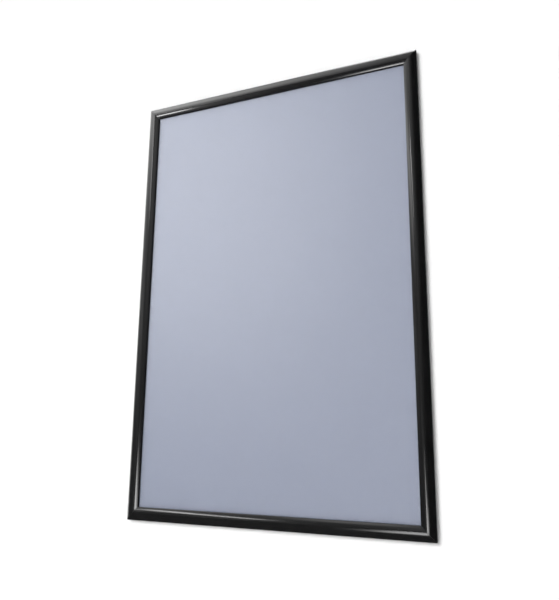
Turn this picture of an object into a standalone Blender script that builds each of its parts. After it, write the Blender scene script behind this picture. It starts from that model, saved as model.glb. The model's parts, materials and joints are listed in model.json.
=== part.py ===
"""Snap-open poster frame that hangs flat on a wall.

Four mitred base rails lie on the wall and are drawn together by corner brackets. A flap is hinged along
the outer edge of each rail. Closed, the flaps press a clear cover sheet and a poster on to the back panel.
Leaf springs under each flap carry it past dead centre, so it stays shut, and stays open at a right angle.

The frame faces -Y with its back on the plane Y = 0. The origin is on the back of the top rail, at the middle
of its row of fixing holes. Sections are drawn in two coordinates: u runs inwards from the frame's outer edge,
and v runs forwards from the wall.
"""

import math

import bmesh
import bpy

# Poster and sheets
POSTER_WIDTH = 0.6096
POSTER_HEIGHT = 0.9144
PANEL_THICKNESS = 0.0025
POSTER_THICKNESS = 0.0003
COVER_THICKNESS = 0.0006
SHEET_EDGE_CLEARANCE = 0.0005

# Room that touching pieces leave each other
SEAT_GAP = 0.0003
MITRE_GAP = 0.00025

# Flap extrusion
RAIL_WIDTH = 0.0270
LIP_COVER = 0.0080
FLAP_WALL = 0.0011
CREST_INSET = 0.0152
CREST_WIDTH = 0.0028
LIP_INNER_RADIUS = 0.0002
LIP_HEIGHT = 0.0040
EDGE_SLOPE = 25.0
CREST_OUTER_SLOPE = 8.0
CREST_INNER_SLOPE = -12.5
LIP_SLOPE = -22.0

# Hinge
BULB_RADIUS = 0.00125
HINGE_CLEARANCE = 0.0003
CURL_FRONT_END = 122.0
CURL_BACK_END = -72.0
CURL_CLEARANCE = 0.0004
CURL_RELIEF = 0.0005
OPEN_ANGLE = 90.0

# Base extrusion
BASE_WALL = 0.0010
RIB_THICKNESS = 0.0012
RIB_SPACING = 0.0021
CHANNEL_WALL = 0.0010
FLANGE_THICKNESS = 0.0007
FLANGE_REACH = 0.0015
NIB_THICKNESS = 0.0008
FLOOR_SETBACK = 0.0015
FIXING_HOLE_RADIUS = 0.00225
FIXING_HOLE_INSET = 0.0700
CUTTER_OVERRUN = 0.0010

# Leaf springs
SPRING_WIDTH = 0.0120
SPRING_THICKNESS = 0.0004
SPRING_BEAD_RADIUS = 0.00045
SPRING_BOW = 0.0009
SPRING_SEAT_DEPTH = 0.0005
SPRING_SEAT_ANGLE = -50.0
SPRING_INSET = 0.1100
SHORT_RAIL_SPRING_COUNT = 2
LONG_RAIL_SPRING_COUNT = 3

# Corner brackets and their grub screws
BRACKET_THICKNESS = 0.0012
BRACKET_ARM = 0.0420
BRACKET_CORNER_CUT = 0.0020
SCREW_RADIUS = 0.0020
SCREW_LENGTH = 0.0022
SCREW_STATION = 0.0300
SOCKET_FLATS = 0.0020
SOCKET_DEPTH = 0.0012

# Smoothness of the round parts, in degrees per facet and in facets
ARC_STEP = 15.0
SLOPE_FACETS = 8
LEAF_FACETS = 8
HOLE_FACETS = 24
SOCKET_SIDES = 6

# Each side and corner of the frame with its turn in the wall plane, from the bottom and the bottom left
SIDES = (("bottom", 0.0), ("left", 90.0), ("top", 180.0), ("right", 270.0))
CORNERS = (("bottom_left", 0.0), ("top_left", 90.0), ("top_right", 180.0), ("bottom_right", 270.0))

# Overall size
OUTER_WIDTH = POSTER_WIDTH + 2 * (RAIL_WIDTH - LIP_COVER)
OUTER_HEIGHT = POSTER_HEIGHT + 2 * (RAIL_WIDTH - LIP_COVER)

# Levels above the wall, in the order in which things are stacked
BRACKET_BACK = BASE_WALL + SEAT_GAP
BRACKET_FRONT = BRACKET_BACK + BRACKET_THICKNESS
FLANGE_BACK = BRACKET_FRONT + SEAT_GAP
FLANGE_FRONT = FLANGE_BACK + FLANGE_THICKNESS
PANEL_BACK = BASE_WALL + SEAT_GAP
POSTER_BACK = PANEL_BACK + PANEL_THICKNESS + SEAT_GAP
COVER_BACK = POSTER_BACK + POSTER_THICKNESS + SEAT_GAP
LIP_BACK = COVER_BACK + COVER_THICKNESS + SEAT_GAP

# Hinge line, with the curl's front end level with the frame's outer edge
CURL_INNER_RADIUS = BULB_RADIUS + HINGE_CLEARANCE
CURL_OUTER_RADIUS = CURL_INNER_RADIUS + FLAP_WALL
HINGE_U = -CURL_OUTER_RADIUS * math.cos(math.radians(CURL_FRONT_END))
HINGE_V = FLANGE_FRONT + CURL_CLEARANCE - CURL_OUTER_RADIUS * math.sin(math.radians(CURL_BACK_END))

# Ribs of the base, from the sheets' edge outwards
RIB_INNER_U = RAIL_WIDTH - LIP_COVER - SHEET_EDGE_CLEARANCE
RIB_OUTER_U = RIB_INNER_U - RIB_THICKNESS
CHANNEL_RIB_INNER_U = RIB_OUTER_U - RIB_SPACING
CHANNEL_RIB_OUTER_U = CHANNEL_RIB_INNER_U - CHANNEL_WALL
CHANNEL_AXIS_U = (HINGE_U + CHANNEL_RIB_OUTER_U) / 2

# The springs' seat on the rib lies half way through the flap's swing, so both ends of the swing are alike
SEAT_RADIUS = SPRING_BEAD_RADIUS + SEAT_GAP
SEAT_U = RIB_OUTER_U - SEAT_RADIUS
SEAT_V = HINGE_V + (SEAT_U - HINGE_U) * math.tan(math.radians(SPRING_SEAT_ANGLE + OPEN_ANGLE / 2))
TIP_RADIUS = CURL_OUTER_RADIUS + SEAT_RADIUS - SPRING_SEAT_DEPTH
TIP_U = HINGE_U + TIP_RADIUS * math.cos(math.radians(SPRING_SEAT_ANGLE))
TIP_V = HINGE_V + TIP_RADIUS * math.sin(math.radians(SPRING_SEAT_ANGLE))


def clear_scene():
    """Remove every object of the startup scene."""
    for obj in list(bpy.data.objects):
        bpy.data.objects.remove(obj, do_unlink=True)


def finish(name, colour, roughness, metallic, alpha=1.0):
    """Make a Principled BSDF material."""
    material = bpy.data.materials.new(name)
    material.use_nodes = True
    shader = material.node_tree.nodes["Principled BSDF"]
    shader.inputs["Base Color"].default_value = (*colour, 1.0)
    shader.inputs["Roughness"].default_value = roughness
    shader.inputs["Metallic"].default_value = metallic
    shader.inputs["Alpha"].default_value = alpha
    return material


def black_coated_aluminium():
    return finish("black_coated_aluminium", (0.012, 0.012, 0.013), 0.32, 0.0)


def zinc_plated_steel():
    return finish("zinc_plated_steel", (0.55, 0.56, 0.58), 0.38, 1.0)


def spring_steel():
    return finish("spring_steel", (0.34, 0.34, 0.36), 0.30, 1.0)


def blackened_steel():
    return finish("blackened_steel", (0.05, 0.05, 0.055), 0.42, 1.0)


def panel_polystyrene():
    return finish("panel_polystyrene", (0.72, 0.72, 0.70), 0.60, 0.0)


def poster_paper():
    return finish("poster_paper", (0.38, 0.41, 0.50), 0.55, 0.0)


def clear_film():
    return finish("clear_film", (0.80, 0.84, 0.90), 0.22, 0.0, alpha=0.15)


def polar(centre, radius, angle):
    """Point at an angle in degrees on a circle."""
    turn = math.radians(angle)
    return (centre[0] + radius * math.cos(turn), centre[1] + radius * math.sin(turn))


def arc(centre, radius, start, end):
    """Points on an arc from one angle to another, both included, about ARC_STEP degrees apart."""
    steps = max(1, math.ceil(abs(end - start) / ARC_STEP))
    return [polar(centre, radius, start + (end - start) * i / steps) for i in range(steps + 1)]


def base_outline():
    """Section of a base rail: floor, outer wall with the hinge bulb, bracket channel and sheet rib."""
    hinge = (HINGE_U, HINGE_V)
    wall_u = HINGE_U - BASE_WALL
    floor_end_u = RAIL_WIDTH - FLOOR_SETBACK
    nib_back = SEAT_V - SEAT_RADIUS
    nib_front = SEAT_V + SEAT_RADIUS
    neck_angle = 180.0 + math.degrees(math.acos(BASE_WALL / BULB_RADIUS))
    rib = [
        (RIB_INNER_U, BASE_WALL),
        (RIB_INNER_U, nib_front + NIB_THICKNESS),
        (SEAT_U, nib_front + NIB_THICKNESS),
        (SEAT_U, nib_front),
        (RIB_OUTER_U, nib_front),
        (RIB_OUTER_U, nib_back),
        (SEAT_U, nib_back),
        (SEAT_U, nib_back - NIB_THICKNESS),
        (RIB_OUTER_U, nib_back - NIB_THICKNESS),
        (RIB_OUTER_U, BASE_WALL),
    ]
    channel_rib = [
        (CHANNEL_RIB_INNER_U, BASE_WALL),
        (CHANNEL_RIB_INNER_U, FLANGE_FRONT),
        (CHANNEL_RIB_OUTER_U - FLANGE_REACH, FLANGE_FRONT),
        (CHANNEL_RIB_OUTER_U - FLANGE_REACH, FLANGE_BACK),
        (CHANNEL_RIB_OUTER_U, FLANGE_BACK),
        (CHANNEL_RIB_OUTER_U, BASE_WALL),
    ]
    outer_wall = [
        (HINGE_U, BASE_WALL),
        (HINGE_U, FLANGE_BACK),
        (HINGE_U + FLANGE_REACH, FLANGE_BACK),
        (HINGE_U + FLANGE_REACH, FLANGE_FRONT),
        (HINGE_U, FLANGE_FRONT),
    ]
    bulb = arc(hinge, BULB_RADIUS, -90.0, neck_angle)
    floor = [(wall_u, 0.0), (floor_end_u, 0.0), (floor_end_u, BASE_WALL)]
    return floor + rib + channel_rib + outer_wall + bulb


def flap_front():
    """Front face of a flap as (u, v, slope) from the shoulder over the crest to the foot of the lip."""
    shoulder = polar((HINGE_U, HINGE_V), CURL_OUTER_RADIUS, 90.0 + EDGE_SLOPE)
    face_start = (*polar(shoulder, CURL_OUTER_RADIUS, EDGE_SLOPE), EDGE_SLOPE)
    face_end = bent_to(face_start, CREST_INSET, CREST_OUTER_SLOPE)
    crest_end = bent_to(face_end, CREST_INSET + CREST_WIDTH, CREST_INNER_SLOPE)
    path = [(*shoulder, EDGE_SLOPE), face_start]
    path += slope_between(face_start, face_end) + [face_end]
    path += slope_between(face_end, crest_end) + [crest_end]

    lip_radius = LIP_INNER_RADIUS + FLAP_WALL
    lip_centre = (RAIL_WIDTH - lip_radius, LIP_BACK + LIP_HEIGHT)
    lip_start = polar(lip_centre, lip_radius, 90.0 + LIP_SLOPE)
    path += slope_between(crest_end, (*lip_start, LIP_SLOPE))
    path += bend(lip_start, lip_radius, LIP_SLOPE, -90.0)
    path.append((RAIL_WIDTH, LIP_BACK, -90.0))
    return path


def bent_to(start, u, slope):
    """Where a face that bends evenly from its start to another slope ends, at a given u."""
    chord_slope = (start[2] + slope) / 2
    return (u, start[1] + (u - start[0]) * math.tan(math.radians(chord_slope)), slope)


def bend(start, radius, slope, end_slope):
    """Points with slopes on an arc that turns clockwise from one slope to another."""
    centre = polar(start, radius, slope - 90.0)
    steps = max(1, math.ceil((slope - end_slope) / ARC_STEP))
    slopes = [slope + (end_slope - slope) * i / steps for i in range(steps + 1)]
    return [(*polar(centre, radius, angle + 90.0), angle) for angle in slopes]


def slope_between(start, end):
    """Inner points of the cubic curve that leaves one point and meets another at their slopes."""
    reach = math.dist(start[:2], end[:2])
    leave = polar((0.0, 0.0), reach, start[2])
    meet = polar((0.0, 0.0), reach, end[2])
    points = []
    for i in range(1, SLOPE_FACETS):
        t = i / SLOPE_FACETS
        shares = (2 * t**3 - 3 * t**2 + 1, t**3 - 2 * t**2 + t, 3 * t**2 - 2 * t**3, t**3 - t**2)
        slope_shares = (6 * t**2 - 6 * t, 3 * t**2 - 4 * t + 1, 6 * t - 6 * t**2, 3 * t**2 - 2 * t)
        ends = (start, leave, end, meet)
        u, v = (sum(share * at[axis] for share, at in zip(shares, ends)) for axis in (0, 1))
        du, dv = (sum(share * at[axis] for share, at in zip(slope_shares, ends)) for axis in (0, 1))
        points.append((u, v, math.degrees(math.atan2(dv, du))))
    return points


def seat_in_curl():
    """Groove for the springs' ends in the curl, from its front edge to its back edge."""
    hinge = (HINGE_U, HINGE_V)
    tip = (TIP_U, TIP_V)
    half_width = math.acos(
        (CURL_OUTER_RADIUS**2 + TIP_RADIUS**2 - SEAT_RADIUS**2) / (2 * CURL_OUTER_RADIUS * TIP_RADIUS)
    )
    front = polar(hinge, CURL_OUTER_RADIUS, SPRING_SEAT_ANGLE + math.degrees(half_width))
    back = polar(hinge, CURL_OUTER_RADIUS, SPRING_SEAT_ANGLE - math.degrees(half_width))
    start = math.degrees(math.atan2(front[1] - tip[1], front[0] - tip[0])) % 360.0
    end = math.degrees(math.atan2(back[1] - tip[1], back[0] - tip[0])) % 360.0
    return math.degrees(half_width), arc(tip, SEAT_RADIUS, start, end)


def flap_outline():
    """Section of a flap: the front skin with its lip, and the curl round the hinge bulb."""
    hinge = (HINGE_U, HINGE_V)
    front = flap_front()
    under = [
        (u + FLAP_WALL * math.sin(math.radians(slope)), v - FLAP_WALL * math.cos(math.radians(slope)))
        for u, v, slope in front
    ]
    root_angle = 90.0 + EDGE_SLOPE - math.degrees(math.acos(CURL_INNER_RADIUS / CURL_OUTER_RADIUS))
    half_width, groove = seat_in_curl()
    return (
        arc(hinge, CURL_INNER_RADIUS, CURL_FRONT_END, CURL_BACK_END)
        + arc(hinge, CURL_OUTER_RADIUS, CURL_BACK_END, SPRING_SEAT_ANGLE - half_width)
        + groove[-2:0:-1]
        + arc(hinge, CURL_OUTER_RADIUS, SPRING_SEAT_ANGLE + half_width, root_angle)
        + under[1:]
        + [point[:2] for point in front[::-1]]
        + arc(hinge, CURL_OUTER_RADIUS, 90.0 + EDGE_SLOPE, CURL_FRONT_END)[1:]
    )


def leaf_outline():
    """Section of a spring about its seat: a leaf bowed towards the wall, with a rolled bead at each end."""
    tip = (TIP_U - SEAT_U, TIP_V - SEAT_V)
    chord = math.hypot(*tip)
    along = (tip[0] / chord, tip[1] / chord)
    across = (-along[1], along[0])
    half = SPRING_THICKNESS / 2
    neck = math.degrees(math.asin(half / SPRING_BEAD_RADIUS))

    def centre_line(t):
        """Point and heading in degrees at a share t of the chord."""
        offset = 4 * SPRING_BOW * t * (1 - t)
        rise = 4 * SPRING_BOW * (1 - 2 * t) / chord
        point = [chord * t * along[axis] + offset * across[axis] for axis in (0, 1)]
        heading = [along[axis] + rise * across[axis] for axis in (0, 1)]
        return point, math.degrees(math.atan2(heading[1], heading[0]))

    stations = [centre_line(i / LEAF_FACETS) for i in range(1, LEAF_FACETS)]
    right = [polar(point, half, heading - 90.0) for point, heading in stations]
    left = [polar(point, half, heading + 90.0) for point, heading in stations]
    seat_heading = centre_line(0.0)[1]
    tip_heading = centre_line(1.0)[1] + 180.0
    seat_bead = arc((0.0, 0.0), SPRING_BEAD_RADIUS, seat_heading + neck, seat_heading + 360.0 - neck)
    tip_bead = arc(tip, SPRING_BEAD_RADIUS, tip_heading + neck, tip_heading + 360.0 - neck)
    return seat_bead + right + tip_bead + left[::-1]


def mesh_from(name, points, faces, smooth_angle):
    """Make a mesh with its faces pointing out and its sharp edges marked."""
    mesh = bpy.data.meshes.new(name)
    mesh.from_pydata(points, [], faces)
    shape = bmesh.new()
    shape.from_mesh(mesh)
    bmesh.ops.recalc_face_normals(shape, faces=shape.faces)
    shape.to_mesh(mesh)
    shape.free()
    mesh.shade_smooth()
    mesh.set_sharp_from_angle(angle=math.radians(smooth_angle))
    return mesh


def prism(name, outline, end_at, origin=(0.0, 0.0), smooth_angle=25.0):
    """Extrude a section along X, from -end_at(u) to end_at(u), about an origin in the section."""
    count = len(outline)
    points = [(sign * end_at(u), u - origin[0], v - origin[1]) for sign in (-1, 1) for u, v in outline]
    sides = [(i, (i + 1) % count, count + (i + 1) % count, count + i) for i in range(count)]
    caps = [tuple(range(count)), tuple(range(count, 2 * count))]
    return mesh_from(name, points, sides + caps, smooth_angle)


def mitred(length):
    """Half length of a rail at each u: the ends are cut at 45 degrees, less the gap at the mitre."""
    return lambda u: length / 2 - u - MITRE_GAP


def sheet_mesh(name, thickness):
    """A rectangular sheet of the poster's size, centred on X and Z, with its back at Y = 0."""
    shape = bmesh.new()
    bmesh.ops.create_cube(shape, size=1.0)
    bmesh.ops.scale(shape, vec=(POSTER_WIDTH, thickness, POSTER_HEIGHT), verts=shape.verts)
    bmesh.ops.translate(shape, vec=(0.0, -thickness / 2, 0.0), verts=shape.verts)
    mesh = bpy.data.meshes.new(name)
    shape.to_mesh(mesh)
    shape.free()
    return mesh


def bracket_mesh():
    """An L of flat steel in the plane of X and Y, with a screw hole in each arm."""
    outer = HINGE_U + SEAT_GAP
    inner = CHANNEL_RIB_OUTER_U - SEAT_GAP
    outline = [
        (outer + BRACKET_CORNER_CUT, outer),
        (BRACKET_ARM, outer),
        (BRACKET_ARM, inner),
        (inner, inner),
        (inner, BRACKET_ARM),
        (outer, BRACKET_ARM),
        (outer, outer + BRACKET_CORNER_CUT),
    ]
    count = len(outline)
    points = [(x, y, z) for z in (0.0, BRACKET_THICKNESS) for x, y in outline]
    sides = [(i, (i + 1) % count, count + (i + 1) % count, count + i) for i in range(count)]
    caps = [tuple(range(count)), tuple(range(count, 2 * count))]
    return mesh_from("corner_bracket", points, sides + caps, 25.0)


def screw_mesh():
    """A grub screw along Z with a hexagon socket sunk in its front end."""

    def round_ring(radius, z):
        turns = [2 * math.pi * i / HOLE_FACETS for i in range(HOLE_FACETS)]
        return [(radius * math.cos(turn), radius * math.sin(turn), z) for turn in turns]

    def socket_ring(z):
        side = 2 * math.pi / SOCKET_SIDES
        turns = [2 * math.pi * i / HOLE_FACETS for i in range(HOLE_FACETS)]
        radii = [SOCKET_FLATS / 2 / math.cos(turn % side - side / 2) for turn in turns]
        return [(r * math.cos(turn), r * math.sin(turn), z) for r, turn in zip(radii, turns)]

    rings = (
        round_ring(SCREW_RADIUS, 0.0),
        round_ring(SCREW_RADIUS, SCREW_LENGTH),
        socket_ring(SCREW_LENGTH),
        socket_ring(SCREW_LENGTH - SOCKET_DEPTH),
    )
    points = [point for ring in rings for point in ring]
    faces = [
        (
            row * HOLE_FACETS + i,
            row * HOLE_FACETS + (i + 1) % HOLE_FACETS,
            (row + 1) * HOLE_FACETS + (i + 1) % HOLE_FACETS,
            (row + 1) * HOLE_FACETS + i,
        )
        for row in range(len(rings) - 1)
        for i in range(HOLE_FACETS)
    ]
    last_row = HOLE_FACETS * (len(rings) - 1)
    faces += [tuple(range(HOLE_FACETS)), tuple(range(last_row, last_row + HOLE_FACETS))]
    return mesh_from("grub_screw", points, faces, 25.0)


def empty(name, parent, location, turn=None):
    """An empty that carries pieces. With a turn, it lies in the wall plane with Z pointing forwards."""
    obj = bpy.data.objects.new(name, None)
    bpy.context.scene.collection.objects.link(obj)
    obj.parent = parent
    obj.location = location
    if turn is not None:
        obj.rotation_euler = (math.radians(90.0), math.radians(turn), 0.0)
    return obj


def piece(name, mesh, material, parent, location=(0.0, 0.0, 0.0)):
    """An object with one material, carried by an empty."""
    obj = bpy.data.objects.new(name, mesh)
    bpy.context.scene.collection.objects.link(obj)
    if not mesh.materials:
        mesh.materials.append(material)
    obj.parent = parent
    obj.location = location
    return obj


def cut(obj, cutter):
    """Take a hidden cutter out of an object."""
    cutter.parent = obj
    cutter.hide_render = True
    cutter.display_type = "WIRE"
    modifier = obj.modifiers.new(f"cut_{cutter.name}", "BOOLEAN")
    modifier.operation = "DIFFERENCE"
    modifier.solver = "EXACT"
    modifier.object = cutter


def hole_cutter(name, radius, depth, location):
    """A round cutter along Z that runs past both faces of a plate whose back is at Z = 0."""
    shape = bmesh.new()
    length = depth + 2 * CUTTER_OVERRUN
    bmesh.ops.create_cone(
        shape, cap_ends=True, segments=HOLE_FACETS, radius1=radius, radius2=radius, depth=length
    )
    bmesh.ops.translate(shape, vec=(0.0, 0.0, depth / 2), verts=shape.verts)
    mesh = bpy.data.meshes.new(name)
    shape.to_mesh(mesh)
    shape.free()
    cutter = bpy.data.objects.new(name, mesh)
    bpy.context.scene.collection.objects.link(cutter)
    cutter.location = location
    return cutter


def relief_cutter(name, half_length, sign):
    """A block over the back half of the curl at one end of a flap, about the hinge line."""
    start = half_length - HINGE_U - CURL_OUTER_RADIUS - CURL_RELIEF
    length = half_length + CUTTER_OVERRUN - start
    reach = CURL_OUTER_RADIUS + CUTTER_OVERRUN
    shape = bmesh.new()
    bmesh.ops.create_cube(shape, size=1.0)
    bmesh.ops.scale(shape, vec=(length, reach, reach), verts=shape.verts)
    centre = (sign * (start + length / 2), reach / 2, -reach / 2)
    bmesh.ops.translate(shape, vec=centre, verts=shape.verts)
    mesh = bpy.data.meshes.new(name)
    shape.to_mesh(mesh)
    shape.free()
    cutter = bpy.data.objects.new(name, mesh)
    bpy.context.scene.collection.objects.link(cutter)
    return cutter


def stations(length, inset, count):
    """Places along a rail, spread evenly between the insets from its two ends."""
    half = length / 2 - inset
    return [half * (2 * i / (count - 1) - 1) for i in range(count)]


def build_side(name, side, length, springs, finishes):
    """One base rail with its fixing holes, its flap and its springs."""
    base_mesh = prism(f"base_rail_{name}", base_outline(), mitred(length))
    base = piece(f"base_rail_{name}", base_mesh, finishes["coat"], side)
    for i, x in enumerate(stations(length, FIXING_HOLE_INSET, 2), 1):
        hole_at = (x, CHANNEL_AXIS_U, 0.0)
        cut(base, hole_cutter(f"fixing_hole_{name}_{i}", FIXING_HOLE_RADIUS, BASE_WALL, hole_at))

    hinge = empty(f"hinge_line_{name}", side, (0.0, HINGE_U, HINGE_V))
    flap_mesh = prism(f"flap_{name}", flap_outline(), mitred(length), (HINGE_U, HINGE_V))
    flap = piece(f"flap_{name}", flap_mesh, finishes["coat"], hinge)
    for i, sign in enumerate((-1, 1), 1):
        cut(flap, relief_cutter(f"curl_relief_{name}_{i}", length / 2, sign))

    seat = empty(f"spring_seat_{name}", side, (0.0, SEAT_U, SEAT_V))
    leaf_mesh = prism(f"spring_{name}", leaf_outline(), lambda u: SPRING_WIDTH / 2)
    for i, x in enumerate(stations(length, SPRING_INSET, springs), 1):
        piece(f"spring_{name}_{i}", leaf_mesh, finishes["spring"], seat, (x, 0.0, 0.0))


def build_corner(name, corner, mesh, screw, finishes):
    """One corner bracket with its two grub screws."""
    bracket = piece(f"corner_bracket_{name}", mesh, finishes["zinc"], corner, (0.0, 0.0, BRACKET_BACK))
    places = ((SCREW_STATION, CHANNEL_AXIS_U), (CHANNEL_AXIS_U, SCREW_STATION))
    for i, (x, y) in enumerate(places, 1):
        hole = hole_cutter(f"screw_hole_{name}_{i}", SCREW_RADIUS + SEAT_GAP, BRACKET_THICKNESS, (x, y, 0.0))
        cut(bracket, hole)
        piece(f"grub_screw_{name}_{i}", screw, finishes["screw"], corner, (x, y, BRACKET_BACK))


def build_sheets(centre, finishes):
    """The back panel, the poster and the clear cover sheet, from the wall forwards."""
    layers = (
        ("back_panel", PANEL_THICKNESS, PANEL_BACK, finishes["panel"]),
        ("poster_insert", POSTER_THICKNESS, POSTER_BACK, finishes["paper"]),
        ("cover_sheet", COVER_THICKNESS, COVER_BACK, finishes["film"]),
    )
    for name, thickness, back, material in layers:
        piece(name, sheet_mesh(name, thickness), material, centre, (0.0, -back, 0.0))


def build_frame():
    """The whole frame about its centre, which hangs below the origin on the top rail's row of holes."""
    finishes = {
        "coat": black_coated_aluminium(),
        "zinc": zinc_plated_steel(),
        "spring": spring_steel(),
        "screw": blackened_steel(),
        "panel": panel_polystyrene(),
        "paper": poster_paper(),
        "film": clear_film(),
    }
    half_width = OUTER_WIDTH / 2
    half_height = OUTER_HEIGHT / 2
    centre = empty("frame_centre", None, (0.0, 0.0, CHANNEL_AXIS_U - half_height))
    for name, turn in SIDES:
        upright = name in ("left", "right")
        length = OUTER_HEIGHT if upright else OUTER_WIDTH
        springs = LONG_RAIL_SPRING_COUNT if upright else SHORT_RAIL_SPRING_COUNT
        reach = half_width if upright else half_height
        heading = math.radians(turn)
        place = (-reach * math.sin(heading), 0.0, -reach * math.cos(heading))
        side = empty(f"side_{name}", centre, place, turn)
        build_side(name, side, length, springs, finishes)

    mesh = bracket_mesh()
    screw = screw_mesh()
    for name, turn in CORNERS:
        x = -half_width if name.endswith("left") else half_width
        z = -half_height if name.startswith("bottom") else half_height
        corner = empty(f"corner_{name}", centre, (x, 0.0, z), turn)
        build_corner(name, corner, mesh, screw, finishes)
    build_sheets(centre, finishes)


clear_scene()
build_frame()
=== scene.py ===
"""Black snap-open poster frame on a white wall, seen from the right and from below its middle.

The file follows the frame as it is put together: base rails on the wall, corner brackets and screws, springs,
the three sheets, and the flaps that close over them. The wall, the light and the camera come last.
"""

import json
import math

import bpy
import numpy as np
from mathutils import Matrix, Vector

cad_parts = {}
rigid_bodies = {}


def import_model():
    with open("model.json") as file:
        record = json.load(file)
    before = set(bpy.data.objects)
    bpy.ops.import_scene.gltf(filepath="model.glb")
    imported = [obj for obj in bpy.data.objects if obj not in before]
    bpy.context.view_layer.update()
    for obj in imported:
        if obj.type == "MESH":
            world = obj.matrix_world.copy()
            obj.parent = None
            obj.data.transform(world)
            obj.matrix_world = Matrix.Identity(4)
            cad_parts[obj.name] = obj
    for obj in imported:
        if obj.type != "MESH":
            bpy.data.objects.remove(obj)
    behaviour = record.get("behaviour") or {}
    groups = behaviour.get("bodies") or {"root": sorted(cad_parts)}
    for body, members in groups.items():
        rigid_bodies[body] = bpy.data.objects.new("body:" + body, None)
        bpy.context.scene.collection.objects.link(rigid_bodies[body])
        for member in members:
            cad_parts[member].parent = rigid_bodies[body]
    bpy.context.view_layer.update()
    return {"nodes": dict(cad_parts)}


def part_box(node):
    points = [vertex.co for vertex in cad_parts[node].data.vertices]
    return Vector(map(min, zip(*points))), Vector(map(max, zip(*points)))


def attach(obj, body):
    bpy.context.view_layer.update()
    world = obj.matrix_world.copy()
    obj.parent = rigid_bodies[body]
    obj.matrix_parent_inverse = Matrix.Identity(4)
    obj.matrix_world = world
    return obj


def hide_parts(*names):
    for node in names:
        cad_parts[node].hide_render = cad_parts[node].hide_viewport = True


for leftover in list(bpy.data.objects):
    bpy.data.objects.remove(leftover, do_unlink=True)
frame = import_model()


# Base rails. One aluminium extrusion in four mitred lengths, coated satin black, with the hinge bulb on its
# outer wall and channels for brackets and springs. They lie on the wall and are screwed to it.
def link(nodes, source, target):
    """Join two sockets, each given as a node and a socket name."""
    nodes.id_data.links.new(source[0].outputs[source[1]], target[0].inputs[target[1]])


def grain_group():
    """Fine even grain of a coating or sheet. Height is the sum of two noises, one seven times finer than the
    other; Tone is the coarse one and Patch a broad slow one, all about 0.5."""
    group = bpy.data.node_groups.new("fine_grain", "ShaderNodeTree")
    group.interface.new_socket("Vector", in_out="INPUT", socket_type="NodeSocketVector")
    group.interface.new_socket("Scale", in_out="INPUT", socket_type="NodeSocketFloat")
    for name in ("Height", "Tone", "Patch"):
        group.interface.new_socket(name, in_out="OUTPUT", socket_type="NodeSocketFloat")
    nodes = group.nodes
    inputs = nodes.new("NodeGroupInput")
    outputs = nodes.new("NodeGroupOutput")
    noises = []
    for share, detail in ((1.0, 2.0), (7.0, 1.0), (0.02, 3.0)):
        scale = nodes.new("ShaderNodeMath")
        scale.operation = "MULTIPLY"
        scale.inputs[1].default_value = share
        link(nodes, (inputs, "Scale"), (scale, 0))
        noise = nodes.new("ShaderNodeTexNoise")
        noise.inputs["Detail"].default_value = detail
        link(nodes, (inputs, "Vector"), (noise, "Vector"))
        link(nodes, (scale, "Value"), (noise, "Scale"))
        noises.append(noise)
    blend = nodes.new("ShaderNodeMix")
    blend.inputs["Factor"].default_value = 0.3
    link(nodes, (noises[0], "Fac"), (blend, "A"))
    link(nodes, (noises[1], "Fac"), (blend, "B"))
    link(nodes, (blend, "Result"), (outputs, "Height"))
    link(nodes, (noises[0], "Fac"), (outputs, "Tone"))
    link(nodes, (noises[2], "Fac"), (outputs, "Patch"))
    return group


def ramp(nodes, source, low, high, low_at=0.3, high_at=0.7):
    """Map a value between two colours, or two greys, and give the node whose Color goes on."""
    node = nodes.new("ShaderNodeValToRGB")
    for stop, colour, place in zip(node.color_ramp.elements, (low, high), (low_at, high_at)):
        stop.position = place
        stop.color = (*colour, 1.0) if isinstance(colour, tuple) else (colour, colour, colour, 1.0)
    link(nodes, source, (node, "Fac"))
    return node


def shaded(name, stretch=(1.0, 1.0, 1.0)):
    """A material with its Principled shader and a stretched Object coordinate to work from."""
    material = bpy.data.materials.new(name)
    material.use_nodes = True
    nodes = material.node_tree.nodes
    coordinate = nodes.new("ShaderNodeTexCoord")
    mapping = nodes.new("ShaderNodeMapping")
    mapping.inputs["Scale"].default_value = stretch
    link(nodes, (coordinate, "Object"), (mapping, "Vector"))
    return material, nodes, nodes["Principled BSDF"], (mapping, "Vector")


fine_grain = grain_group()


def grain_on(nodes, place, scale):
    """Place the grain group on a coordinate, at a scale in cycles per metre."""
    grain = nodes.new("ShaderNodeGroup")
    grain.node_tree = fine_grain
    grain.inputs["Scale"].default_value = scale
    link(nodes, place, (grain, "Vector"))
    return grain


def bump_from(nodes, shader, source, depth, normal=None):
    """Raise the surface by a height in metres and feed it to the shader."""
    bump = nodes.new("ShaderNodeBump")
    bump.inputs["Strength"].default_value = 1.0
    bump.inputs["Distance"].default_value = depth
    link(nodes, source, (bump, "Height"))
    if normal is not None:
        link(nodes, normal, (bump, "Normal"))
    link(nodes, (bump, "Normal"), (shader, "Normal"))
    return bump


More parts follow.
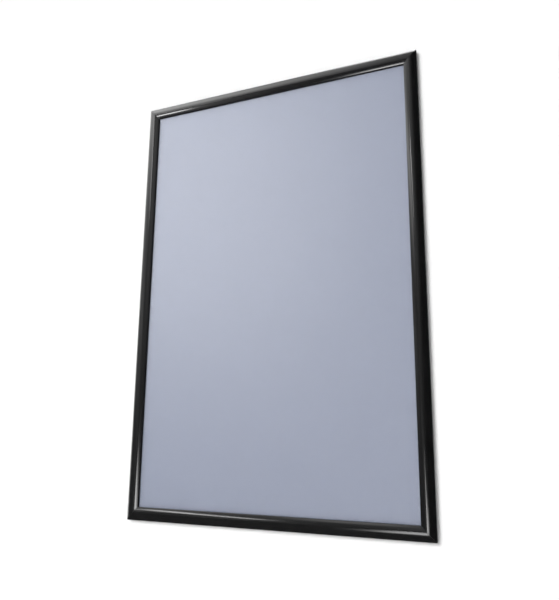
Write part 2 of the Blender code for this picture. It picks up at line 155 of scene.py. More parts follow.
def rubbed_group():
    """Where handling has rubbed an edge. Mask is Worn, 0 to 1, raised or lowered by the grain and kept above 0."""
    group = bpy.data.node_groups.new("rubbed_edge", "ShaderNodeTree")
    for name in ("Worn", "Tone"):
        group.interface.new_socket(name, in_out="INPUT", socket_type="NodeSocketFloat")
    group.interface.new_socket("Mask", in_out="OUTPUT", socket_type="NodeSocketFloat")
    nodes = group.nodes
    inputs = nodes.new("NodeGroupInput")
    outputs = nodes.new("NodeGroupOutput")
    patchy = nodes.new("ShaderNodeMapRange")
    patchy.inputs["From Min"].default_value = 0.4
    patchy.inputs["From Max"].default_value = 0.65
    link(nodes, (inputs, "Tone"), (patchy, "Value"))
    mask = nodes.new("ShaderNodeMath")
    mask.operation = "MULTIPLY"
    mask.use_clamp = True
    link(nodes, (inputs, "Worn"), (mask, 0))
    link(nodes, (patchy, "Result"), (mask, 1))
    link(nodes, (mask, "Value"), (outputs, "Mask"))
    return group


rubbed_edge = rubbed_group()


def rubbed_on(nodes, worn, grain):
    """Place the rubbed-edge group on a source of wear, 0 to 1, and a grain."""
    rubbed = nodes.new("ShaderNodeGroup")
    rubbed.node_tree = rubbed_edge
    link(nodes, worn, (rubbed, "Worn"))
    link(nodes, (grain, "Tone"), (rubbed, "Tone"))
    return rubbed


def lifted(nodes, mask, source, raised, target):
    """Feed a target from a ramp's colour, mixed with a raised one where the mask is 1. The mix node has a set of
    sockets for each data type, so the colour ones are taken by number."""
    mix = nodes.new("ShaderNodeMix")
    mix.data_type = "RGBA"
    raised_colour = raised if isinstance(raised, tuple) else (raised, raised, raised)
    mix.inputs[7].default_value = (*raised_colour, 1.0)
    link(nodes, mask, (mix, 0))
    link(nodes, source, (mix, 6))
    link(nodes, (mix, 2), target)


def black_coat(name, stretch):
    """Satin black coating on an extrusion, with faint lines along the rail left by the die. Edges marked in the
    mesh's own "worn" attribute are rubbed a little lighter and duller."""
    material, nodes, shader, place = shaded(name, stretch)
    straight = nodes.new("ShaderNodeTexCoord")
    grain = grain_on(nodes, place, 900.0)
    skin = grain_on(nodes, (straight, "Object"), 2200.0)
    worn = nodes.new("ShaderNodeAttribute")
    worn.attribute_name = "worn"
    rubbed = rubbed_on(nodes, (worn, "Fac"), skin)
    colour = ramp(nodes, (skin, "Patch"), (0.0038, 0.0038, 0.0040), (0.0056, 0.0056, 0.0059))
    lifted(nodes, (rubbed, "Mask"), (colour, "Color"), (0.016, 0.016, 0.0165), (shader, "Base Color"))
    gloss = ramp(nodes, (grain, "Tone"), 0.10, 0.13)
    lifted(nodes, (rubbed, "Mask"), (gloss, "Color"), 0.24, (shader, "Roughness"))
    lines = bump_from(nodes, shader, (grain, "Height"), 0.000002)
    bump_from(nodes, shader, (skin, "Height"), 0.000003, (lines, "Normal"))
    shader.inputs["IOR"].default_value = 1.7
    return material


coat_across = black_coat("black_coat_across", (0.004, 1.0, 1.0))
coat_upright = black_coat("black_coat_upright", (1.0, 1.0, 0.004))
for side in ("top", "bottom", "left", "right"):
    coat = coat_upright if side in ("left", "right") else coat_across
    frame["nodes"][f"base_rail_{side}"].material_slots[0].material = coat


# Corner brackets and grub screws. Zinc plated steel, stamped flat, and black screws with a hexagon socket.
def zinc():
    """Zinc plate: a bright grey metal with a soft spangle."""
    material, nodes, shader, place = shaded("zinc_plate")
    grain = grain_on(nodes, place, 400.0)
    colour = ramp(nodes, (grain, "Tone"), (0.46, 0.47, 0.49), (0.62, 0.63, 0.65))
    link(nodes, (colour, "Color"), (shader, "Base Color"))
    gloss = ramp(nodes, (grain, "Patch"), 0.28, 0.42)
    link(nodes, (gloss, "Color"), (shader, "Roughness"))
    bump_from(nodes, shader, (grain, "Height"), 0.00001)
    shader.inputs["Metallic"].default_value = 1.0
    return material


def black_oxide():
    """Black oxide on steel: dark, slightly oily."""
    material, nodes, shader, place = shaded("black_oxide")
    grain = grain_on(nodes, place, 1200.0)
    colour = ramp(nodes, (grain, "Tone"), (0.03, 0.03, 0.033), (0.07, 0.07, 0.075))
    link(nodes, (colour, "Color"), (shader, "Base Color"))
    gloss = ramp(nodes, (grain, "Height"), 0.34, 0.5)
    link(nodes, (gloss, "Color"), (shader, "Roughness"))
    bump_from(nodes, shader, (grain, "Height"), 0.000008)
    shader.inputs["Metallic"].default_value = 1.0
    return material


SCREW_RADIUS = 0.0020
THREAD_PITCH = 0.0007
THREAD_DEPTH = 0.00022
SOCKET_HALF_FLATS = 0.0010
SOCKET_DEPTH = 0.0012
SOCKET_CHAMFER = 0.00012
DRILL_POINT = 0.0002
THREAD_START = 0.0002


def screw_grid(length):
    """A grub screw as rows of points round its axis, from the middle of its back to the bottom of its socket.
    On the thread the radius is full, less the depth times the distance from a crest of the helix, where the
    helix climbs one pitch a turn. In the socket it is the hexagon's, half its flats over the cosine of the
    angle from the nearest flat's middle."""
    turn = np.linspace(0.0, 2 * np.pi, 48, endpoint=False)
    up = np.linspace(THREAD_START, length - THREAD_START, 26)[:, None]
    phase = (up / THREAD_PITCH + turn / (2 * np.pi)) % 1.0
    thread = SCREW_RADIUS - THREAD_DEPTH * np.abs(2.0 * phase - 1.0)
    hexagon = SOCKET_HALF_FLATS / np.cos((turn + np.pi / 6) % (np.pi / 3) - np.pi / 6)
    plain = np.ones_like(turn)
    root = SCREW_RADIUS - THREAD_DEPTH
    radius = np.vstack((0 * plain, 0.5 * root * plain, root * plain, thread, root * plain, 1.12 * hexagon, hexagon,
                        0.97 * hexagon, 0.5 * hexagon, 0 * plain))
    seat = length - SOCKET_DEPTH
    socket = (length, length, length - SOCKET_CHAMFER, seat, seat - DRILL_POINT / 2, seat - DRILL_POINT)
    height = np.concatenate(((0.0, 0.0, 0.0), up[:, 0], socket))[:, None] * plain
    return np.stack((radius * np.cos(turn), radius * np.sin(turn), height), -1)


def closed_skin(name, grid):
    """Mesh of a grid that closes round each row and runs from one point to another: the first and last rows are
    poles, and the rest make quads that face outwards."""
    rows, count = grid.shape[:2]
    points = np.concatenate((grid[0, :1], grid[1:-1].reshape(-1, 3), grid[-1, :1]))
    around = np.arange(count)
    onwards = (around + 1) % count
    low = 1 + count * np.arange(rows - 3)[:, None]
    quads = np.stack((low + around, low + onwards, low + count + onwards, low + count + around), -1).reshape(-1, 4)
    last = 1 + count * (rows - 3)
    start = np.stack((np.zeros(count, int), 1 + onwards, 1 + around), -1)
    end = np.stack((np.full(count, last + count), last + around, last + onwards), -1)
    mesh = bpy.data.meshes.new(name)
    mesh.from_pydata(points.tolist(), [], start.tolist() + quads.tolist() + end.tolist())
    mesh.polygons.foreach_set("use_smooth", np.ones(len(mesh.polygons), bool))
    mesh.set_sharp_from_angle(angle=math.radians(40.0))
    mesh.materials.append(None)
    return mesh


def new_piece(name, mesh, material, slot, body, *replaced):
    """Put a mesh in the scene as a piece that rides on a body and stands for CAD nodes."""
    mesh.materials[0] = material
    piece = bpy.data.objects.new(name, mesh)
    bpy.context.scene.collection.objects.link(piece)
    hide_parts(*replaced)
    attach(piece, body)
    return piece


def threaded_screw(name, node, material):
    """A screw where its CAD node is, back to the wall and socket to the front."""
    low, high = (np.array(corner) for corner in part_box(node))
    grid = screw_grid(high[1] - low[1])
    place = np.array(((low[0] + high[0]) / 2, high[1], (low[2] + high[2]) / 2))
    placed = place + np.stack((grid[..., 0], -grid[..., 2], grid[..., 1]), -1)
    return new_piece(name, closed_skin(name, placed), material, "blackened_steel", "frame_base", node)


zinc_plate = zinc()
oxide = black_oxide()
for corner in ("top_left", "top_right", "bottom_left", "bottom_right"):
    frame["nodes"][f"corner_bracket_{corner}"].material_slots[0].material = zinc_plate
    for i in (1, 2):
        threaded_screw(f"threaded_screw_{corner}_{i}", f"grub_screw_{corner}_{i}", oxide)


# Leaf springs. Blued spring steel, rolled to a bead at both ends, two in a short rail and three in a long one.
def blued():
    """Blued spring steel: a cool dark grey metal with broad, slow changes of tint."""
    material, nodes, shader, place = shaded("blued_steel")
    grain = grain_on(nodes, place, 700.0)
    colour = ramp(nodes, (grain, "Patch"), (0.20, 0.21, 0.26), (0.34, 0.33, 0.34))
    link(nodes, (colour, "Color"), (shader, "Base Color"))
    gloss = ramp(nodes, (grain, "Tone"), 0.22, 0.36)
    link(nodes, (gloss, "Color"), (shader, "Roughness"))
    bump_from(nodes, shader, (grain, "Height"), 0.000005)
    shader.inputs["Metallic"].default_value = 1.0
    return material


blued_steel = blued()
for side, count in (("top", 2), ("bottom", 2), ("left", 3), ("right", 3)):
    for i in range(1, count + 1):
        frame["nodes"][f"spring_{side}_{i}"].material_slots[0].material = blued_steel


# Back panel. Extruded polystyrene sheet, off-white and matt, cut to the poster's size.
def polystyrene():
    """Matt off-white plastic with a fine pebbled skin."""
    material, nodes, shader, place = shaded("panel_plastic")
    grain = grain_on(nodes, place, 1500.0)
    colour = ramp(nodes, (grain, "Patch"), (0.68, 0.68, 0.66), (0.75, 0.75, 0.73))
    link(nodes, (colour, "Color"), (shader, "Base Color"))
    gloss = ramp(nodes, (grain, "Tone"), 0.5, 0.65)
    link(nodes, (gloss, "Color"), (shader, "Roughness"))
    bump_from(nodes, shader, (grain, "Height"), 0.00002)
    return material


frame["nodes"]["back_panel"].material_slots[0].material = polystyrene()


# Poster. A plain blue-grey sheet of paper with nothing printed on it.
def paper():
    """Matt paper with short fibres and a slightly uneven tint."""
    material, nodes, shader, place = shaded("blue_grey_paper")
    grain = grain_on(nodes, place, 600.0)
    colour = ramp(nodes, (grain, "Patch"), (0.310, 0.347, 0.462), (0.320, 0.357, 0.472))
    link(nodes, (colour, "Color"), (shader, "Base Color"))
    gloss = ramp(nodes, (grain, "Tone"), 0.5, 0.6)
    link(nodes, (gloss, "Color"), (shader, "Roughness"))
    bump_from(nodes, shader, (grain, "Height"), 0.00001)
    return material


frame["nodes"]["poster_insert"].material_slots[0].material = paper()


# Cover sheet. Clear film with an anti-glare face, held over the poster by the flaps' lips.
def film():
    """Clear plastic whose face is etched matt, so that it shows only a soft sheen."""
    material, nodes, shader, place = shaded("anti_glare_film")
    grain = grain_on(nodes, place, 2500.0)
    colour = ramp(nodes, (grain, "Patch"), (0.320, 0.350, 0.438), (0.332, 0.362, 0.450))
    link(nodes, (colour, "Color"), (shader, "Base Color"))
    gloss = ramp(nodes, (grain, "Tone"), 0.42, 0.48)
    link(nodes, (gloss, "Color"), (shader, "Roughness"))
    bump_from(nodes, shader, (grain, "Height"), 0.0000004)
    shader.inputs["Alpha"].default_value = 0.3
    shader.inputs["IOR"].default_value = 2.2
    return material


frame["nodes"]["cover_sheet"].material_slots[0].material = film()


# Flaps. Each is one aluminium extrusion 1.1 mm thick, coated with the base rails: a skin that curves from the
# shoulder over the ridge to the lip, and a curl that turns on the base rail's bulb. The ends are mitred.
RAIL_WIDTH = 0.0270
FLAP_WALL = 0.0011
HINGE = np.array((0.00140429, 0.00642030))
CURL_INNER, CURL_OUTER = 0.00155, 0.00265
LIP_BACK, LIP_CENTRE_V, LIP_RADIUS = 0.0056, 0.0096, 0.0013
BEAD_REACH, BEAD_SEAT, BEAD_ANGLE = 0.0029, 0.00075, -50.0
MITRE_GAP = 0.00025
CURL_RELIEF = 0.0005
CURL_STEP = 21
SHOULDER_ANGLE, CURL_FRONT_END, CURL_BACK_END = 115.0, 122.0, -72.0
RIDGE_U, BROW_U = 0.0152, 0.0180
SHOULDER_SLOPE, RIDGE_SLOPE, BROW_SLOPE, LIP_SLOPE = 25.0, 8.0, -12.5, -22.0
LIP_SHADE = 0.0013
EDGE_ROUNDING = 0.00015
RING_OFFSETS = (0.0, EDGE_ROUNDING, 0.0008, 0.003, 0.009)
RING_WEAR = (1.0, 0.9, 0.3, 0.05, 0.0)


def circle(centre, radius, start, end, count):
    """Points at radius times (cosine, sine) of an angle that runs evenly from start to end, in degrees."""
    angle = np.radians(np.linspace(start, end, count))
    return np.asarray(centre) + radius * np.stack((np.cos(angle), np.sin(angle)), 1)


def faired(start, slope, end, end_slope, count):
    """Cubic between two points that leaves and arrives at slopes in degrees, as points and upward normals. Its
    end tangents are as long as the straight line between the points."""
    start, end = np.asarray(start), np.asarray(end)
    t = np.linspace(0.0, 1.0, count)[:, None]
    reach = np.linalg.norm(end - start)
    leave = circle((0.0, 0.0), reach, slope, slope, 1)
    meet = circle((0.0, 0.0), reach, end_slope, end_slope, 1)
    points = (2 * t**3 - 3 * t**2 + 1) * start + (t**3 - 2 * t**2 + t) * leave
    points += (3 * t**2 - 2 * t**3) * end + (t**3 - t**2) * meet
    heading = (6 * t**2 - 6 * t) * (start - end) + (3 * t**2 - 4 * t + 1) * leave + (3 * t**2 - 2 * t) * meet
    heading /= np.linalg.norm(heading, axis=1)[:, None]
    return points, np.stack((-heading[:, 1], heading[:, 0]), 1)


def skin():
    """Front face of a flap as points and outward normals: a straight run from the shoulder at 25 degrees, a long
    curve to 8 degrees at the ridge, over it to -12.5, down to -22 at the lip, and round the lip to its foot."""
    def chord(start, u, slope, end_slope):
        """Point at u that is reached from a start at the mean of two slopes."""
        return np.array((u, start[1] + (u - start[0]) * math.tan(math.radians((slope + end_slope) / 2))))

    shoulder = circle(HINGE, CURL_OUTER, SHOULDER_ANGLE, SHOULDER_ANGLE, 1)
    face = circle(shoulder[0], CURL_OUTER, SHOULDER_SLOPE, SHOULDER_SLOPE, 1)[0]
    ridge = chord(face, RIDGE_U, SHOULDER_SLOPE, RIDGE_SLOPE)
    brow = chord(ridge, BROW_U, RIDGE_SLOPE, BROW_SLOPE)
    lip_centre = (RAIL_WIDTH - LIP_RADIUS, LIP_CENTRE_V)
    lip = circle(lip_centre, LIP_RADIUS, 90.0 + LIP_SLOPE, 0.0, 16)
    runs = [
        (shoulder, circle((0.0, 0.0), 1.0, SHOULDER_ANGLE, SHOULDER_ANGLE, 1)),
        faired(face, SHOULDER_SLOPE, ridge, RIDGE_SLOPE, 28),
        [run[1:] for run in faired(ridge, RIDGE_SLOPE, brow, BROW_SLOPE, 18)],
        [run[1:] for run in faired(brow, BROW_SLOPE, lip[0], LIP_SLOPE, 22)],
        (lip[1:], (lip[1:] - lip_centre) / LIP_RADIUS),
        (np.array([(RAIL_WIDTH, LIP_BACK)]), np.array([(1.0, 0.0)])),
    ]
    return np.concatenate([run[0] for run in runs]), np.concatenate([run[1] for run in runs])


def bead_groove():
    """Hollow in the back of the curl where the springs' beads bear: an arc about the bead's centre, between the
    two places where it meets the outside of the curl. Gives the arc and the angle it takes from the curl."""
    taken = math.degrees(math.acos((CURL_OUTER**2 + BEAD_REACH**2 - BEAD_SEAT**2) / (2 * CURL_OUTER * BEAD_REACH)))
    turn = math.degrees(math.acos((BEAD_REACH**2 + BEAD_SEAT**2 - CURL_OUTER**2) / (2 * BEAD_REACH * BEAD_SEAT)))
    centre = circle(HINGE, BEAD_REACH, BEAD_ANGLE, BEAD_ANGLE, 1)[0]
    inward = BEAD_ANGLE + 180.0
    return circle(centre, BEAD_SEAT, inward + turn, inward - turn, 9), taken


def flap_section():
    """Section of a flap as two chains that meet at the curl's inner edge: the skin with the front of the curl,
    closed, and the back of the curl, which stops short of the mitres so that the corners can open."""
    points, normals = skin()
    under = points - FLAP_WALL * normals
    root = SHOULDER_ANGLE - math.degrees(math.acos(CURL_INNER / CURL_OUTER))
    groove, taken = bead_groove()
    front = (
        circle(HINGE, CURL_INNER, CURL_FRONT_END, 0.0, 22),
        circle(HINGE, CURL_OUTER, 0.0, root, 10),
        under[1:],
        points[::-1],
        circle(HINGE, CURL_OUTER, SHOULDER_ANGLE, CURL_FRONT_END, 4)[1:],
    )
    back = (
        circle(HINGE, CURL_INNER, 0.0, CURL_BACK_END, 12)[1:],
        circle(HINGE, CURL_OUTER, CURL_BACK_END, BEAD_ANGLE - taken, 4),
        groove[1:-1],
        circle(HINGE, CURL_OUTER, BEAD_ANGLE + taken, 0.0, 8)[:-1],
    )
    return np.concatenate(front), np.concatenate(back)


def drawn_in(ring, distance):
    """A closed ring with each point moved inwards, by the mean of the inward normals of its two sides."""
    side = np.roll(ring, -1, 0) - ring
    side /= np.linalg.norm(side, axis=1)[:, None]
    inward = np.stack((-side[:, 1], side[:, 0]), 1)
    mean = inward + np.roll(inward, 1, 0)
    return ring + distance * mean / np.linalg.norm(mean, axis=1)[:, None]


def painted_shade_lip_coat():
    """Painted shade on the lip's standing face: a darker, rough black that barely reflects, so that the face stays
    as dark as shade.
    """
    material, nodes, shader, place = shaded("lip_painted_shade")
    grain = grain_on(nodes, place, 1500.0)
    colour = ramp(nodes, (grain, "Tone"), (0.0025, 0.0025, 0.0027), (0.0045, 0.0045, 0.0048))
    link(nodes, (colour, "Color"), (shader, "Base Color"))
    gloss = ramp(nodes, (grain, "Patch"), 0.55, 0.7)
    link(nodes, (gloss, "Color"), (shader, "Roughness"))
    bump_from(nodes, shader, (grain, "Height"), 0.00001)
    shader.inputs["IOR"].default_value = 1.25
    return material


# Painted shade for the lips' standing faces, darker and less glossy than the coat.
lip_shade_material = painted_shade_lip_coat()
def flap_mesh(name, length, across, turn):
    """A flap of a rail of this length, on a frame this far across. Its section is carried from mitre to mitre on
    rings that lie closer near the ends; a ring's place along the rail is half the length, less u, less the
    mitre's gap, less the ring's offset. The rail is then turned about the frame's middle."""
    front, back = flap_section()
    relief = length / 2 - HINGE[0] - CURL_OUTER - CURL_RELIEF
    count, spare = len(front), len(back)
    rings, wear = [], []
    for sign, order in ((-1.0, range(5)), (1.0, range(4, -1, -1))):
        for k in order:
            ring = drawn_in(front, EDGE_ROUNDING) if k == 0 else front
            along = length / 2 - front[:, 0] - MITRE_GAP - RING_OFFSETS[k]
            chain = length / 2 - back[:, 0] - MITRE_GAP - RING_OFFSETS[k]
            if k == 2:
                along[[CURL_STEP, CURL_STEP + 1]] = relief
                chain[:] = relief
            rings.append(np.column_stack((sign * along, ring)))
            wear.append(np.full(count, RING_WEAR[k]))
            if k >= 2:
                rings.append(np.column_stack((sign * chain, back)))
                wear.append(np.zeros(spare))
    points = np.concatenate(rings)
    starts = np.cumsum([0] + [len(ring) for ring in rings])
    skins = [s for s, ring in zip(starts, rings) if len(ring) == count]
    chains = [s for s, ring in zip(starts, rings) if len(ring) == spare]
    quads = []
    for j in range(9):
        here = np.arange(count)
        here = here[here != CURL_STEP] if 2 <= j <= 6 else here
        there = (here + 1) % count
        quads.append(np.stack((skins[j] + here, skins[j] + there, skins[j + 1] + there, skins[j + 1] + here), 1))

    def chain_ring(j):
        step = skins[j + 2] + CURL_STEP
        return np.concatenate(([step], chains[j] + np.arange(spare), [step + 1]))

    for j in range(5):
        here, there = chain_ring(j), chain_ring(j + 1)
        quads.append(np.stack((here[:-1], here[1:], there[1:], there[:-1]), 1))
    caps = [np.arange(count)[::-1] + skins[0], np.arange(count) + skins[9], chain_ring(0)[::-1], chain_ring(5)]
    quads = np.concatenate(quads)
    faces = quads.tolist() + [cap.tolist() for cap in caps]

    angle = math.radians(turn)
    run, rise = points[:, 0], points[:, 1] - across / 2
    placed = np.stack((run * math.cos(angle) + rise * math.sin(angle), -points[:, 2],
                       MIDDLE_Z - run * math.sin(angle) + rise * math.cos(angle)), 1)
    mesh = bpy.data.meshes.new(name)
    mesh.from_pydata(placed.tolist(), [], faces)
    mesh.polygons.foreach_set("use_smooth", np.ones(len(faces), bool))
    mesh.set_sharp_from_angle(angle=math.radians(28.0))
    worn = mesh.attributes.new("worn", "FLOAT", "POINT")
    worn.data.foreach_set("value", np.concatenate(wear))
    mesh.materials.append(None)
    # The lip's standing face takes the second material, painted shade that keeps it black.
    mesh.materials.append(lip_shade_material)
    middles = points[quads].mean(1)
    in_shaded_lip = np.zeros(len(faces), int)
    in_shaded_lip[:len(quads)] = (middles[:, 1] > RAIL_WIDTH - LIP_SHADE) & (middles[:, 2] < LIP_CENTRE_V)
    mesh.polygons.foreach_set("material_index", in_shaded_lip)
    return mesh


WIDTH, HEIGHT, MIDDLE_Z = 0.6476, 0.9524, -0.4683979
for side, length, across, turn in (("bottom", WIDTH, HEIGHT, 0.0), ("left", HEIGHT, WIDTH, 90.0),
                                   ("top", WIDTH, HEIGHT, 180.0), ("right", HEIGHT, WIDTH, 270.0)):
    coat = coat_upright if side in ("left", "right") else coat_across
    shell = flap_mesh(f"flap_shell_{side}", length, across, turn)
    new_piece(f"flap_shell_{side}", shell, coat, "black_coated_aluminium", f"{side}_flap", f"flap_{side}")


# Wall and floor, not part of the frame. The wall is white to the camera and keeps the frame's shadow. From
# behind it is clear, and it is left open behind the frame, so that the frame's back can be seen and gets light.
def plane(name, corners, faces=((0, 1, 2, 3),)):
    """A flat sheet of four-cornered faces."""
    mesh = bpy.data.meshes.new(name)
    mesh.from_pydata(corners, [], faces)
    sheet = bpy.data.objects.new(name, mesh)
    bpy.context.scene.collection.objects.link(sheet)
    return sheet


WALL_Y, WALL_TOP, WALL_HALF = 0.0004, 2.5, 4.0
FLOOR_Z, FLOOR_FRONT = -1.97, -5.0
HIDDEN_EDGE = 0.004
open_x, open_z = WIDTH / 2 - HIDDEN_EDGE, HEIGHT / 2 - HIDDEN_EDGE
wall = plane("wall", [(-WALL_HALF, WALL_Y, FLOOR_Z), (WALL_HALF, WALL_Y, FLOOR_Z),
                      (WALL_HALF, WALL_Y, WALL_TOP), (-WALL_HALF, WALL_Y, WALL_TOP),
                      (-open_x, WALL_Y, MIDDLE_Z - open_z), (open_x, WALL_Y, MIDDLE_Z - open_z),
                      (open_x, WALL_Y, MIDDLE_Z + open_z), (-open_x, WALL_Y, MIDDLE_Z + open_z)],
             ((0, 1, 5, 4), (1, 2, 6, 5), (2, 3, 7, 6), (3, 0, 4, 7)))
floor = plane("floor", [(-WALL_HALF, FLOOR_FRONT, FLOOR_Z), (WALL_HALF, FLOOR_FRONT, FLOOR_Z),
                        (WALL_HALF, WALL_Y, FLOOR_Z), (-WALL_HALF, WALL_Y, FLOOR_Z)])


def plaster(name, white):
    """White paint, a diffuse surface that is clear from behind."""
    material = bpy.data.materials.new(name)
    material.use_nodes = True
    nodes = material.node_tree.nodes
    nodes.clear()
    output = nodes.new("ShaderNodeOutputMaterial")
    diffuse = nodes.new("ShaderNodeBsdfDiffuse")
    diffuse.inputs["Color"].default_value = (white, white, white, 1.0)
    clear = nodes.new("ShaderNodeBsdfTransparent")
    geometry = nodes.new("ShaderNodeNewGeometry")
    choose = nodes.new("ShaderNodeMixShader")
    link(nodes, (geometry, "Backfacing"), (choose, "Fac"))
    link(nodes, (diffuse, "BSDF"), (choose, 1))
    link(nodes, (clear, "BSDF"), (choose, 2))
    link(nodes, (choose, "Shader"), (output, "Surface"))
    return material


wall.data.materials.append(plaster("white_wall", 0.72))
floor.data.materials.append(plaster("pale_floor", 0.80))
floor.visible_glossy = False


# Light: a studio with soft boxes and openings round a dark right-hand side. Each is a soft-edged patch of the
# surroundings, placed by its bearing and height in degrees as seen from the frame's middle.
def reckoner(nodes):
    """A function that adds a math node: it takes an operation and its sources, each a value or a node's output."""
    def reckon(operation, *sources):
        node = nodes.new("ShaderNodeMath")
        node.operation = operation
        for i, source in enumerate(sources):
            if isinstance(source, tuple):
                link(nodes, source, (node, i))
            else:
                node.inputs[i].default_value = source
        return (node, "Value")

    return reckon


def soft_patch_group():
    """One light of the room. Two distances from its centre, turned by Turn, are each run through a smooth step
    that falls from 1 to 0 across Softness at the half width and half height; their product is the light."""
    group = bpy.data.node_groups.new("soft_patch", "ShaderNodeTree")
    names = ("Bearing", "Height", "Centre Bearing", "Centre Height", "Half Width", "Half Height", "Turn", "Softness")
    for name in (*names, "Strength"):
        group.interface.new_socket(name, in_out="INPUT", socket_type="NodeSocketFloat")
    group.interface.new_socket("Light", in_out="OUTPUT", socket_type="NodeSocketFloat")
    nodes = group.nodes
    inputs = nodes.new("NodeGroupInput")
    outputs = nodes.new("NodeGroupOutput")
    reckon = reckoner(nodes)
    across = reckon("SUBTRACT", (inputs, "Bearing"), (inputs, "Centre Bearing"))
    up = reckon("SUBTRACT", (inputs, "Height"), (inputs, "Centre Height"))
    turn = reckon("RADIANS", (inputs, "Turn"))
    cosine = reckon("COSINE", turn)
    sine = reckon("SINE", turn)
    along = reckon("ADD", reckon("MULTIPLY", across, cosine), reckon("MULTIPLY", up, sine))
    aside = reckon("SUBTRACT", reckon("MULTIPLY", up, cosine), reckon("MULTIPLY", across, sine))
    half_soft = reckon("MULTIPLY", (inputs, "Softness"), 0.5)
    shares = []
    for distance, half in ((along, "Half Width"), (aside, "Half Height")):
        step = nodes.new("ShaderNodeMapRange")
        step.interpolation_type = "SMOOTHSTEP"
        link(nodes, reckon("ABSOLUTE", distance), (step, "Value"))
        link(nodes, reckon("SUBTRACT", (inputs, half), half_soft), (step, "From Min"))
        link(nodes, reckon("ADD", (inputs, half), half_soft), (step, "From Max"))
        step.inputs["To Min"].default_value = 1.0
        step.inputs["To Max"].default_value = 0.0
        shares.append((step, "Result"))
    light = reckon("MULTIPLY", reckon("MULTIPLY", *shares), (inputs, "Strength"))
    link(nodes, light, (outputs, "Light"))
    return group


# Light from behind the wall, which shows the frame's back
BEHIND_WALL = 0.62

# Bearing and height of the centre, half width, half height, turn, softness and strength of each light. Bearing
# 0 is straight out from the wall, negative to the left of someone who faces the frame.
ROOM_LIGHTS = {
    "ceiling": (-103.6, 43.8, 62.7, 0.0, 9.8, 82.5, 8.1),
    "top_opening": (-82.1, 79.8, 32.9, 6.2, 10.6, 7.8, 8.3),
    "left_window": (-99.3, 12.7, 9.6, 31.6, 3.8, 12.5, 12.0),
    "left_bar": (-55.3, 27.6, 15.4, 1.0, -29.5, 10.7, 3.1),
    "left_strip": (-66.0, 26.3, 32.1, 2.7, -20.7, 4.5, 0.42),
    "left_glow": (-62.2, 10.4, 13.8, 2.1, -9.2, 27.0, 0.82),
    "streak": (-32.5, 22.9, 7.2, 0.9, -28.0, 2.4, 12.5),
    "upper_glow": (-20.4, 34.7, 5.8, 4.0, 9.7, 5.4, 0.95),
    "low_glow": (-26.7, 0.1, 3.0, 9.8, -10.6, 17.8, 0.69),
    "front_glow": (-1.4, 28.3, 8.6, 17.8, 7.7, 34.6, 0.65),
    "front_box": (2.0, -6.9, 4.2, 3.0, -36.0, 4.0, 8.2),
    "front_core": (9.6, -8.6, 3.0, 1.6, 0.0, 3.0, 6.0),
    "low_box": (-10.6, -26.4, 4.6, 5.6, -17.5, 4.0, 5.4),
    "low_edge": (-10.4, -11.4, 2.6, 2.2, 0.0, 3.0, 11.5),
    "right_fill": (36.0, 68.0, 44.0, 16.0, 0.0, 12.0, 1.4),
}


def room():
    """The surroundings: a dim base that is darker on the right, and the lights above. White to the camera."""
    world = bpy.data.worlds.new("room")
    world.use_nodes = True
    nodes = world.node_tree.nodes
    background = nodes["Background"]
    background.inputs["Color"].default_value = (1.0, 1.0, 1.0, 1.0)
    coordinate = nodes.new("ShaderNodeTexCoord")
    split = nodes.new("ShaderNodeSeparateXYZ")
    link(nodes, (coordinate, "Generated"), (split, "Vector"))
    reckon = reckoner(nodes)
    bearing = reckon("DEGREES", reckon("ARCTAN2", (split, "X"), reckon("MULTIPLY", (split, "Y"), -1.0)))
    height = reckon("DEGREES", reckon("ARCSINE", (split, "Z")))
    base = nodes.new("ShaderNodeMapRange")
    base.interpolation_type = "SMOOTHSTEP"
    link(nodes, bearing, (base, "Value"))
    base.inputs["From Min"].default_value = 30.0
    base.inputs["From Max"].default_value = -30.0
    base.inputs["To Min"].default_value = 0.02
    base.inputs["To Max"].default_value = 0.10
    total = (base, "Result")
    behind = reckon("GREATER_THAN", (split, "Y"), 0.0)
    total = reckon("ADD", total, reckon("MULTIPLY", behind, BEHIND_WALL))
    patch = soft_patch_group()
    sockets = ("Centre Bearing", "Centre Height", "Half Width", "Half Height", "Turn", "Softness", "Strength")
    for name, values in ROOM_LIGHTS.items():
        light = nodes.new("ShaderNodeGroup")
        light.node_tree = patch
        light.name = name
        link(nodes, bearing, (light, "Bearing"))
        link(nodes, height, (light, "Height"))
        for socket, value in zip(sockets, values):
            light.inputs[socket].default_value = value
        total = reckon("ADD", total, (light, "Light"))
    path = nodes.new("ShaderNodeLightPath")
    backdrop = reckon("MULTIPLY", (path, "Is Glossy Ray"), behind)
    backdrop = reckon("MAXIMUM", backdrop, reckon("MAXIMUM", (path, "Is Camera Ray"), (path, "Is Transmission Ray")))
    seen = nodes.new("ShaderNodeMix")
    link(nodes, backdrop, (seen, "Factor"))
    link(nodes, total, (seen, "A"))
    seen.inputs["B"].default_value = 1.0
    link(nodes, (seen, "Result"), (background, "Strength"))
    return world


bpy.context.scene.world = room()


def only_on(lamp, name, pieces):
    """Let a lamp light nothing but the given pieces."""
    lit = bpy.data.collections.new(name)
    for piece in pieces:
        lit.objects.link(piece)
    lamp.light_linking.receiver_collection = lit


def lamp_towards(name, kind, bearing, height, distance, target):
    """A lamp at a bearing and height in degrees from a target, turned to face it."""
    data = bpy.data.lights.new(name, kind)
    lamp = bpy.data.objects.new(name, data)
    bpy.context.scene.collection.objects.link(lamp)
    bearing, height = math.radians(bearing), math.radians(height)
    away = np.array((math.sin(bearing) * math.cos(height), -math.cos(bearing) * math.cos(height), math.sin(height)))
    lamp.location = np.array(target) + distance * away
    lamp.rotation_euler = (math.pi / 2 - height, 0.0, bearing)
    return lamp


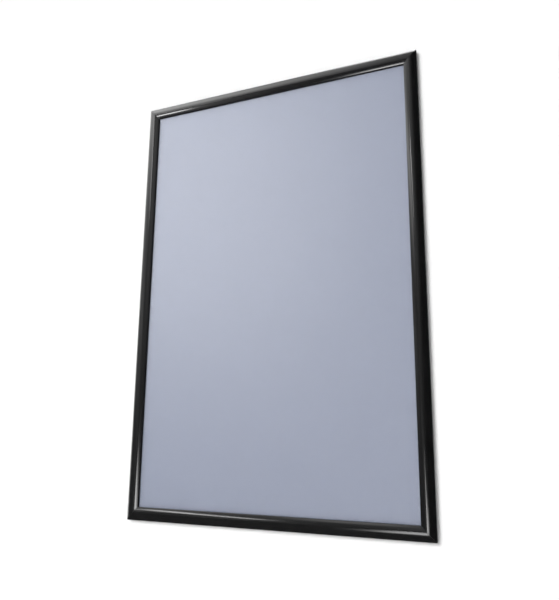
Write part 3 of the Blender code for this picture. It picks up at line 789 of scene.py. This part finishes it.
# Lamps, each for one thing: the wall, with the frame's shadow; the cover sheet, with no shadow from the lips;
# the whole frame from the front; and the top rail's left end, where a small far lamp draws a thin line.
MIDDLE = (0.0, 0.0, -0.4684)
wall_lamp = lamp_towards("wall_lamp", "SUN", -26.0, 24.0, 3.0, MIDDLE)
wall_lamp.data.angle = math.radians(36.0)
wall_lamp.data.energy = 3.0
only_on(wall_lamp, "lit_wall", [wall])
sheet_lamp = lamp_towards("sheet_lamp", "AREA", -38.0, 24.5, 2.2, MIDDLE)
sheet_lamp.data.size = 1.9
sheet_lamp.data.energy = 35.0
only_on(sheet_lamp, "lit_sheets", [frame["nodes"]["cover_sheet"]])
behind_sheets = bpy.data.collections.new("behind_sheets")
behind_sheets.objects.link(wall)
sheet_lamp.light_linking.blocker_collection = behind_sheets
front_lamp = lamp_towards("front_lamp", "SUN", -8.0, 6.0, 3.0, MIDDLE)
front_lamp.data.angle = math.radians(20.0)
front_lamp.data.energy = 1.2
front_lamp.visible_glossy = False
only_on(front_lamp, "lit_frame", [item for item in bpy.data.objects if item.type == "MESH"
                                  and item not in (wall, floor)])

CORNER = (-0.262, -0.013, -0.012)
line_lamp = lamp_towards("line_lamp", "AREA", -31.0, -0.4, 2.2, CORNER)
line_lamp.data.shape = "RECTANGLE"
line_lamp.data.size, line_lamp.data.size_y = 0.30, 0.19
line_lamp.data.energy = 2.2
only_on(line_lamp, "lit_top_rail", [bpy.data.objects["flap_shell_top"]])

# Camera, where the photograph was taken from: right of the frame, below its middle, turned up and to the left.
CAMERA_PLACE = (0.50937, -1.13894, -0.76147)
CAMERA_TURN = (102.2750, -0.5165, 23.1139)
camera_data = bpy.data.cameras.new("camera")
camera_data.lens = 36.615
camera = bpy.data.objects.new("camera", camera_data)
bpy.context.scene.collection.objects.link(camera)
camera.location = CAMERA_PLACE
camera.rotation_euler = [math.radians(turn) for turn in CAMERA_TURN]
bpy.context.scene.camera = camera
bpy.context.scene.view_settings.view_transform = "Standard"
